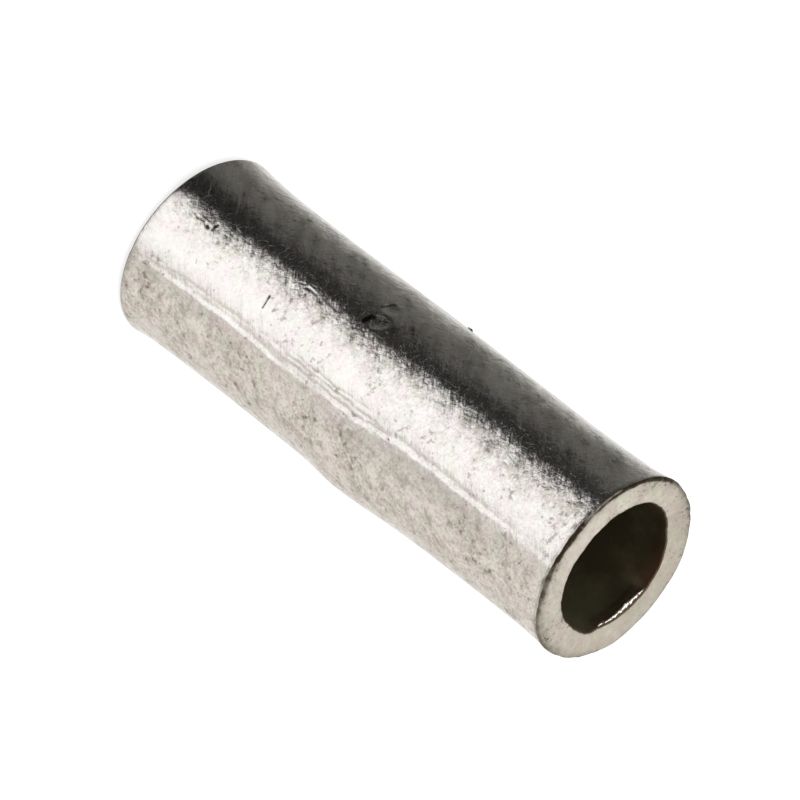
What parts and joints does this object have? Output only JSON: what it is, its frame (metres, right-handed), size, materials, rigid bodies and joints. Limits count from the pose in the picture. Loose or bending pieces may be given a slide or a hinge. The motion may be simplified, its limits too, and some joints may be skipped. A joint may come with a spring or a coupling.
{
  "type": "butt splice connector",
  "caption": "Bare metal crimp sleeve that joins two stripped wires end to end: a short tube with flared ends, a round bore and a pressed wire stop at mid-length.",
  "frame": {"origin": "centre of the lower end face, on the bore axis", "axes": "+Z along the bore from the lower end to the upper end, -Y through the wire stop's punch mark"},
  "size_m": [0.005, 0.005, 0.015],
  "materials": {
    "tin_plate": "bright tin plate on copper, tumbled, with fine pits and draw lines"
  },
  "bodies": {
    "root": {"splice_sleeve": "tin_plate"}
  },
  "joints": []
}
